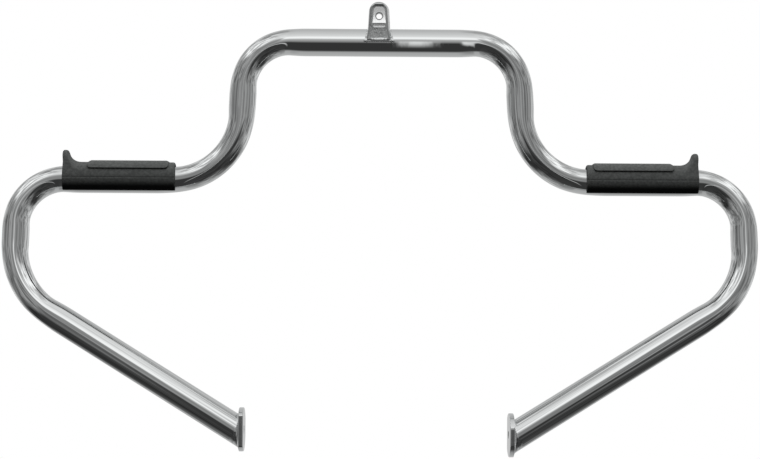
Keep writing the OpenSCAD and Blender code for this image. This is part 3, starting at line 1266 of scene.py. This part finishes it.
@dataclass(frozen=True)
class EndWeld(SidedCarving):
    """A small rippled fillet weld round the tube's end, on its plate's outer face."""

    plate_piece: EndPlate
    plate: bpy.types.Material
    size: float = 2.5
    ripple: float = 0.06
    ripple_count: int = 46
    sink: float = 0.2
    # How far it keeps inside the plate's outline
    inset: float = 0.5
    cell: float = 0.4

    slot = "plated_weld"
    piece_stem = "end_weld_rippled"
    node_stem = "end_weld"

    @property
    def side(self) -> Side:
        """The side of its plate."""
        return self.plate_piece.side

    def placing(self) -> Placing:
        """In the end plate's axes."""
        return self.plate_piece.placing()

    def box(self) -> tuple[Array, Array]:
        """Just round the weld.

        Returns:
            The box's lowest and highest corners.
        """
        thickness = self.plate_piece.path.plate_thickness
        wide = self.plate_piece.blank_radius + 0.8
        return np.array([thickness - 1, -wide, -wide]), np.array([thickness + self.size + 1, wide, wide])

    def materials(self) -> list[bpy.types.Material]:
        """Plated and polished as its plate is."""
        return [self.plate]

    def distance(self, p: Array) -> Array:
        """The hollow corner between the slanted tube and the plate's face, kept within the plate's outline.

        Args:
            p: One row of x, y and z for each point, in the piece's own axes.

        Returns:
            One distance for each point, less than nothing inside.
        """
        path = self.plate_piece.path
        turn = 1 if self.side is Side.LEFT else -1
        heading = path.ends[-1].heading * np.array([1, turn, turn])
        off = p - np.array([path.plate_thickness, 0, -turn * path.plate_up])
        away = off - (off @ heading)[:, None] * heading
        tube = np.linalg.norm(away, axis=1) - path.tube_radius
        face = off[:, 0]
        wave = np.cos(self.ripple_count * np.arctan2(off[:, 2], off[:, 1]))
        corner = fillet(tube, face, self.size + self.ripple * wave)
        weld = np.maximum(corner, np.maximum(-tube, -face) - self.sink)
        return np.maximum(weld, self.plate_piece.outline(p[:, 1], p[:, 2]) + self.inset)


@dataclass(frozen=True)
class PhotoCamera:
    """The camera that took the photograph, as fitted to the bent path."""

    distance: float = 1800.0
    focal: float = 1553.4
    frame_width: float = 760.0
    yaw: float = -0.66
    roll: float = -0.33
    to_left: float = 2.13
    drop: float = 216.12

    def build(self, target: Array) -> bpy.types.Object:
        """Makes the camera.

        Args:
            target: The point of the part that the camera's place is measured from.

        Returns:
            The camera's object.
        """
        yaw, roll = math.radians(self.yaw), math.radians(self.roll)
        level = Vector((math.cos(yaw), math.sin(yaw), 0))
        ahead = Vector((-math.sin(yaw), math.cos(yaw), 0))
        right = level * math.cos(roll) - Vector((0, 0, math.sin(roll)))
        up = level * math.sin(roll) + Vector((0, 0, math.cos(roll)))
        place = Vector(target) - right * self.to_left - up * self.drop - ahead * self.distance
        data = bpy.data.cameras.new("photo_camera")
        data.sensor_width = 36.0
        data.lens = self.focal / self.frame_width * data.sensor_width
        camera = bpy.data.objects.new("photo_camera", data)
        camera.matrix_world = Matrix.Translation(place * MM) @ Matrix((right, up, -ahead)).transposed().to_4x4()
        bpy.context.collection.objects.link(camera)
        bpy.context.scene.camera = camera
        return camera


@dataclass(frozen=True)
class Studio:
    """A studio: a pale floor and one broad overhead lamp, and for metal alone a bright panel and a dark open front.

    Metal reflects the greys of front, wings, round and sides, and the rest of the part is lit by those of fall.
    """

    floor_z: float = -900.0
    floor_radius: float = 1700.0
    floor_colour: str = "#f4f4f2"
    floor_roughness: float = 0.9
    # The shares of the floor's radius between which it fades out
    floor_fade: tuple[float, float] = (0.55, 0.97)
    lamp_power: float = 9.0
    lamp_size: float = 1400.0
    lamp_place: tuple[float, float, float] = (0.0, -150.0, 1250.0)
    lamp_target: tuple[float, float, float] = (0.0, 0.0, -250.0)
    # Degrees from the front over the top to the back, with the grey that lies there: paper behind and below, a
    # dark floor towards the camera, a dim wall behind it, a bright panel above, and a ceiling
    front_tones: tuple[tuple[float, float], ...] = (
        (-180, 0.6), (-95, 0.45), (-77, 0.04), (-10, 0.04), (0, 0.25), (24, 0.6), (27, 1.05), (38, 1.15),
        (50, 0.85), (75, 0.7), (118, 0.55), (180, 0.6),
    )
    # The same farther aside, where the slanting legs reflect it
    wing_tones: tuple[tuple[float, float], ...] = (
        (-180, 0.6), (-140, 0.55), (-86, 0.2), (-72, 0.05), (-10, 0.04), (0, 0.28), (28, 0.3), (46, 1.05),
        (54, 0.85), (92, 0.65), (106, 0.35), (150, 0.6), (180, 0.6),
    )
    # Degrees round from the front to the viewer's right, with the grey at the height of the horizon
    round_tones: tuple[tuple[float, float], ...] = (
        (-180, 0.7), (-145, 0.65), (-85, 0.2), (-48, 0.3), (0, 0.25), (70, 0.25), (145, 0.65), (180, 0.7),
    )
    # Degrees above the horizon at either side, with the grey that lies there
    side_tones: tuple[tuple[float, float], ...] = (
        (-90, 0.45), (-72, 0.35), (-50, 0.04), (-24, 0.04), (2, 0.25), (32, 0.35), (40, 0.9), (50, 1.0), (90, 0.65),
    )
    # The camera's stand: its middle and half its width aside, its grey, the heights between which it shows, and how
    # softly it ends
    stand_place: float = 0.034
    stand_half: float = 0.018
    stand_tone: float = 0.85
    stand_low: float = -55.0
    stand_high: float = 8.0
    stand_edge: float = 8.0
    # How the light falls on rubber and paper, by degrees above the horizon
    fall_tones: tuple[tuple[float, float], ...] = ((-90, 0.0), (-5, 0.0), (10, 0.1), (40, 0.95), (90, 1.6))
    # How far aside or, for the horizon, up or down in radians one set of greys gives way to the next
    wing_start: float = 0.06
    wing_end: float = 0.12
    side_start: float = 0.4
    side_end: float = 0.7
    horizon_start: float = 0.3
    horizon_end: float = 0.62
    # Stands round the bar: how much they darken what lies aside, the share of that by which the gaps between them
    # are lighter, how many there are, and between which values of the noise they end
    clutter: float = 0.45
    clutter_gap: float = 0.8
    clutter_scale: float = 7.0
    clutter_edge: tuple[float, float] = (0.4, 0.6)

    @staticmethod
    def tone_ramp(
        tree: bpy.types.NodeTree, angle: bpy.types.NodeSocket, stops: tuple[tuple[float, float], ...]
    ) -> bpy.types.NodeSocket:
        """Turns an angle in radians into a grey, by stops that are in degrees.

        Args:
            tree: The world's tree.
            angle: The angle.
            stops: Pairs of degrees and a linear grey, from low to high.

        Returns:
            The grey.
        """
        low, high = stops[0][0], stops[-1][0]
        place = add_node(
            tree,
            "ShaderNodeMapRange",
            {"From Min": math.radians(low), "From Max": math.radians(high)},
            {"Value": angle},
        )
        ramp = add_node(tree, "ShaderNodeValToRGB", links={"Fac": place.outputs["Result"]})
        fill_ramp(ramp.color_ramp, [((at - low) / (high - low), grey) for at, grey in stops])
        return ramp.outputs["Color"]

    def measures(self, tree: bpy.types.NodeTree, way: bpy.types.NodeSocket) -> dict[str, bpy.types.NodeSocket]:
        """Works out where in the studio a direction points.

        Args:
            tree: The world's tree.
            way: The direction.

        Returns:
            Its parts, its angles in radians, and how far it points aside from the front and from the stand.
        """
        found = dict(add_node(tree, "ShaderNodeSeparateXYZ", links={0: way}).outputs.items())
        for name, operation, *given in (
            ("front", "MULTIPLY", "Y", -1.0),
            ("over", "ARCTAN2", "Z", "front"),
            ("about", "ARCTAN2", "X", "front"),
            ("rise", "ARCSINE", "Z"),
            ("aside", "ABSOLUTE", "X"),
            ("height", "ABSOLUTE", "rise"),
            ("from_stand", "SUBTRACT", "X", self.stand_place),
            ("off_stand", "ABSOLUTE", "from_stand"),
        ):
            links = {i: found[value] for i, value in enumerate(given) if isinstance(value, str)}
            numbers = {i: value for i, value in enumerate(given) if isinstance(value, float)}
            found[name] = add_node(tree, "ShaderNodeMath", {"operation": operation, **numbers}, links).outputs[0]
        return found

    def shares(
        self, tree: bpy.types.NodeTree, found: dict[str, bpy.types.NodeSocket]
    ) -> dict[str, bpy.types.NodeSocket]:
        """Works out how far each part of the studio shows in a direction.

        Args:
            tree: The world's tree.
            found: Where the direction points, as measures gives it.

        Returns:
            A smooth share from 0 to 1 for each part.
        """
        low, high, edge = (math.radians(angle) for angle in (self.stand_low, self.stand_high, self.stand_edge))
        made = {}
        for name, measure, start, end in (
            ("wings", "aside", self.wing_start, self.wing_end),
            ("above", "height", self.horizon_start, self.horizon_end),
            ("sides", "aside", self.side_start, self.side_end),
            ("clutter", "aside", self.wing_start, self.side_start),
            ("stand", "off_stand", self.stand_half, 0.0),
            ("over_foot", "over", low, high - edge),
            ("under_top", "over", high + edge, high - edge),
        ):
            made[name] = add_node(
                tree,
                "ShaderNodeMapRange",
                {"interpolation_type": "SMOOTHSTEP", "From Min": start, "From Max": end},
                {"Value": found[measure]},
            ).outputs["Result"]
        for limit in ("over_foot", "under_top"):
            links = {0: made["stand"], 1: made[limit]}
            made["stand"] = add_node(tree, "ShaderNodeMath", {"operation": "MULTIPLY"}, links).outputs[0]
        return made

    def world(self) -> None:
        """Sets the light that comes from all round, what metal reflects, and a white background for the camera."""
        world = bpy.data.worlds.new("studio_light")
        bpy.context.scene.world = world
        world.use_nodes = True
        tree = world.node_tree
        tree.nodes.clear()
        way = add_node(tree, "ShaderNodeTexCoord").outputs["Generated"]
        found = self.measures(tree, way)
        shares = self.shares(tree, found)
        greys = {
            "front": self.tone_ramp(tree, found["over"], self.front_tones),
            "wings": self.tone_ramp(tree, found["over"], self.wing_tones),
            "around": self.tone_ramp(tree, found["about"], self.round_tones),
            "above": self.tone_ramp(tree, found["rise"], self.side_tones),
            "stand": add_node(tree, "ShaderNodeRGB").outputs[0],
        }
        greys["stand"].default_value = (self.stand_tone,) * 3 + (1,)
        for under, share, over in (
            ("front", "wings", "wings"),
            ("around", "above", "above"),
            ("front", "sides", "around"),
            ("front", "stand", "stand"),
        ):
            links = {0: shares[share], 6: greys[under], 7: greys[over]}
            greys[under] = add_node(tree, "ShaderNodeMix", {"data_type": "RGBA"}, links).outputs[2]
        cloud = add_node(tree, "ShaderNodeTexNoise", {"Scale": self.clutter_scale, "Detail": 2.0}, {"Vector": way})
        dim = add_node(
            tree,
            "ShaderNodeMapRange",
            {
                "From Min": self.clutter_edge[0],
                "From Max": self.clutter_edge[1],
                "To Min": -self.clutter,
                "To Max": self.clutter_gap * self.clutter,
            },
            {"Value": cloud.outputs["Fac"]},
        ).outputs["Result"]
        strength = add_node(
            tree, "ShaderNodeMath", {"operation": "MULTIPLY_ADD", 2: 1.0}, {0: dim, 1: shares["clutter"]}
        )
        path = add_node(tree, "ShaderNodeLightPath").outputs
        links = {"Color": greys["front"], "Strength": strength.outputs[0]}
        seen = add_node(tree, "ShaderNodeBackground", links=links)
        light = self.tone_ramp(tree, found["rise"], self.fall_tones)
        fall = add_node(tree, "ShaderNodeBackground", links={"Color": light})
        studio = add_node(
            tree, "ShaderNodeMixShader", links={0: path["Is Glossy Ray"], 1: fall.outputs[0], 2: seen.outputs[0]}
        )
        white = add_node(tree, "ShaderNodeBackground")
        white.inputs["Color"].default_value = (1, 1, 1, 1)
        mix = add_node(
            tree, "ShaderNodeMixShader", links={0: path["Is Camera Ray"], 1: studio.outputs[0], 2: white.outputs[0]}
        )
        add_node(tree, "ShaderNodeOutputWorld", links={"Surface": mix.outputs[0]})

    def floor(self) -> None:
        """Makes the pale floor, a disc that fades out before its rim, for the camera alone."""
        bpy.ops.mesh.primitive_circle_add(
            vertices=96, radius=self.floor_radius * MM, fill_type="NGON", location=(0, 0, self.floor_z * MM)
        )
        floor = bpy.context.object
        floor.name = "studio_floor"
        floor.visible_glossy = False
        floor.visible_diffuse = False
        mat = bpy.data.materials.new("paper_floor_matt")
        mat.use_nodes = True
        tree = mat.node_tree
        shader = tree.nodes["Principled BSDF"]
        shader.inputs["Base Color"].default_value = linear(self.floor_colour)
        shader.inputs["Roughness"].default_value = self.floor_roughness
        place = add_node(tree, "ShaderNodeTexCoord").outputs["Object"]
        reach = add_node(tree, "ShaderNodeVectorMath", {"operation": "LENGTH"}, {0: place})
        far = self.floor_radius * MM
        fade = add_node(
            tree,
            "ShaderNodeMapRange",
            {"From Min": self.floor_fade[0] * far, "From Max": self.floor_fade[1] * far},
            {"Value": reach.outputs["Value"]},
        )
        clear = add_node(tree, "ShaderNodeBsdfTransparent")
        mix = add_node(
            tree, "ShaderNodeMixShader", links={0: fade.outputs["Result"], 1: shader.outputs[0], 2: clear.outputs[0]}
        )
        tree.links.new(mix.outputs[0], tree.nodes["Material Output"].inputs["Surface"])
        floor.data.materials.append(mat)

    def lamp(self) -> None:
        """Hangs the broad lamp above the bar, a little in front of it, and leaves it out of the reflections."""
        data = bpy.data.lights.new("overhead_softbox", "AREA")
        data.energy = self.lamp_power
        data.size = self.lamp_size * MM
        lamp = bpy.data.objects.new("overhead_softbox", data)
        lamp.location = Vector(self.lamp_place) * MM
        aim = Vector(self.lamp_target) * MM - lamp.location
        lamp.rotation_euler = aim.to_track_quat("-Z", "Y").to_euler()
        lamp.visible_glossy = False
        bpy.context.collection.objects.link(lamp)

    def build(self) -> None:
        """Sets up the whole studio."""
        self.world()
        self.floor()
        self.lamp()
        bpy.context.scene.view_settings.view_transform = "Standard"


def main() -> None:
    """Builds the crash bar's pieces, the studio and the camera."""
    logging.basicConfig(level=logging.INFO, format="%(message)s")
    path = TubePath()
    chrome = ChromePlate()
    plate = ChromePlate(name="chromium_plated_turned", haze=0.04, ripple_mm=8.0, ripple_strength=0.04).material()
    forged = ChromePlate(
        name="chromium_plated_forged", colour="#cdcfcf", ripple_mm=3.5, ripple_strength=0.3, haze=0.1
    ).material()
    satin = ChromePlate(
        name="chromium_plated_unpolished", colour="#f6f7f7", roughness=0.14, haze=0.1, pit_strength=0.5
    ).material()
    weld = ChromePlate(
        name="chromium_plated_weld", colour="#e4e6e6", roughness=0.2, haze=0.12, ripple_mm=2.5, ripple_strength=0.3
    ).material()
    rubber = MouldedRubber().material()
    BarTube(path, chrome).build()
    MountingTab(path, forged, satin).build()
    TabWeld(path, weld).build()
    for side in Side:
        end = EndPlate(path, side, plate)
        end.build()
        EndWeld(end, plate).build()
        FootPad(path, side, rubber).build()
    Studio().build()
    PhotoCamera().build(np.array([path.shift, path.bar_y, path.bar_z]))


if __name__ == "__main__":
    main()
